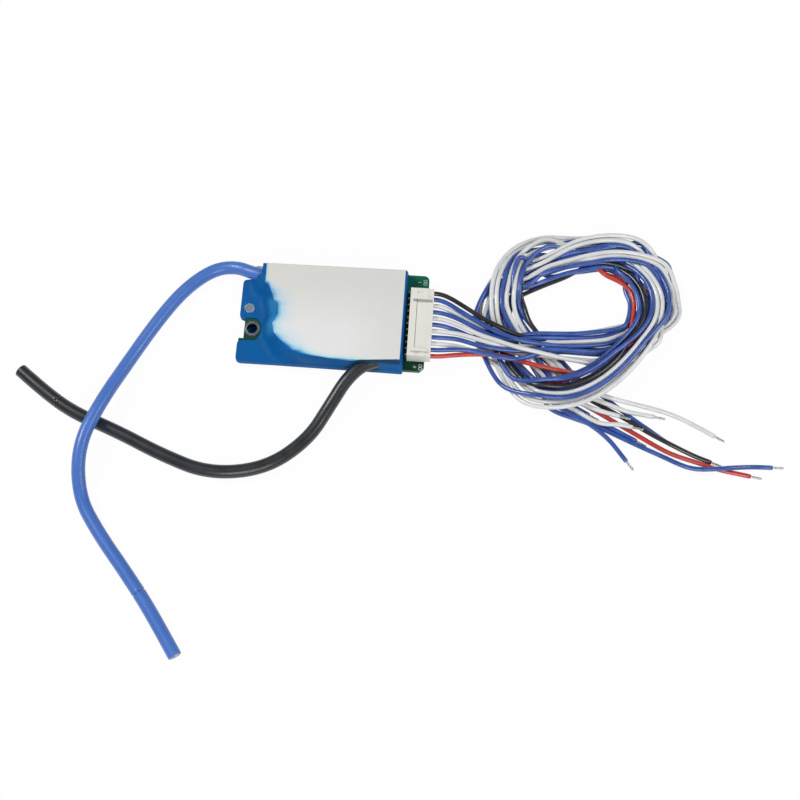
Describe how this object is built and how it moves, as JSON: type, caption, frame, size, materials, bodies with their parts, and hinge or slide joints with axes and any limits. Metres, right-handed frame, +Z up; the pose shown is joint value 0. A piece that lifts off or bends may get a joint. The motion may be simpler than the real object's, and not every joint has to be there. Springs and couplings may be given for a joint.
{
  "type": "battery management board",
  "caption": "Flat film-wrapped circuit board with a pale top panel, a wire header with its plug, a loose coil of thin sense wires and thick power cables with free ends.",
  "frame": {"origin": "centre of the wrapped board's bottom face, midway between its left end and the plug's wire face", "axes": "+X along the board towards the wire header, +Y towards the edge where the blue cable leaves, +Z up"},
  "size_m": [0.2267, 0.1403, 0.0085],
  "materials": {
    "green_laminate": "green solder mask, satin gloss",
    "blue_film": "heat-shrink film, glossy",
    "pale_label": "satin, pale grey",
    "plate_metal": "satin",
    "grey_pad": "matt",
    "black_moulding": "matt",
    "tinned_metal": "tin plated, satin",
    "shunt_metal": "satin",
    "resistor_black": "matt",
    "capacitor_brown": "matt",
    "eyelet_metal": "turned, grooved",
    "rivet_metal": "satin",
    "solder_metal": "bright solder",
    "cream_plastic": "satin, cream",
    "cable_blue": "matt silicone",
    "cable_black": "matt silicone",
    "cable_copper": "stranded copper",
    "wire_black": "glossy",
    "wire_blue": "glossy",
    "wire_white": "glossy",
    "wire_red": "glossy",
    "wire_tin": "tinned strands"
  },
  "bodies": {
    "root": {"circuit_board": "green_laminate", "board_film": "blue_film", "top_panel": "pale_label", "heat_sink_plate": "plate_metal", "thermal_pad": "grey_pad", "power_transistors": "black_moulding", "transistor_leads": "tinned_metal", "shunt_resistors": "shunt_metal", "protection_chip": "black_moulding", "chip_pins": "tinned_metal", "balance_resistors": "resistor_black", "filter_capacitors": "capacitor_brown", "mounting_eyelet": "eyelet_metal", "serrated_rivet": "rivet_metal", "terminal_tab": "tinned_metal", "blue_cable_solder": "solder_metal", "black_cable_solder": "solder_metal", "header_shroud": "cream_plastic", "header_pins": "tinned_metal", "header_pin_solder": "solder_metal", "plug_housing": "cream_plastic", "crimp_terminals": "tinned_metal", "blue_power_cable": "cable_blue", "blue_cable_end": "cable_blue", "blue_cable_core": "cable_copper", "black_power_cable": "cable_black", "black_cable_end": "cable_black", "black_cable_core": "cable_copper", "sense_wire_coil": "wire_blue", "sense_wire_01": "wire_black", "sense_wire_02": "wire_blue", "sense_wire_03": "wire_white", "sense_wire_04": "wire_blue", "sense_wire_05": "wire_white", "sense_wire_06": "wire_blue", "sense_wire_07": "wire_white", "sense_wire_08": "wire_blue", "sense_wire_09": "wire_white", "sense_wire_10": "wire_blue", "sense_wire_11": "wire_red", "sense_wire_tip_01": "wire_tin", "sense_wire_tip_02": "wire_tin", "sense_wire_tip_03": "wire_tin", "sense_wire_tip_04": "wire_tin", "sense_wire_tip_05": "wire_tin", "sense_wire_tip_06": "wire_tin", "sense_wire_tip_07": "wire_tin", "sense_wire_tip_08": "wire_tin", "sense_wire_tip_09": "wire_tin", "sense_wire_tip_10": "wire_tin", "sense_wire_tip_11": "wire_tin"}
  },
  "joints": []
}
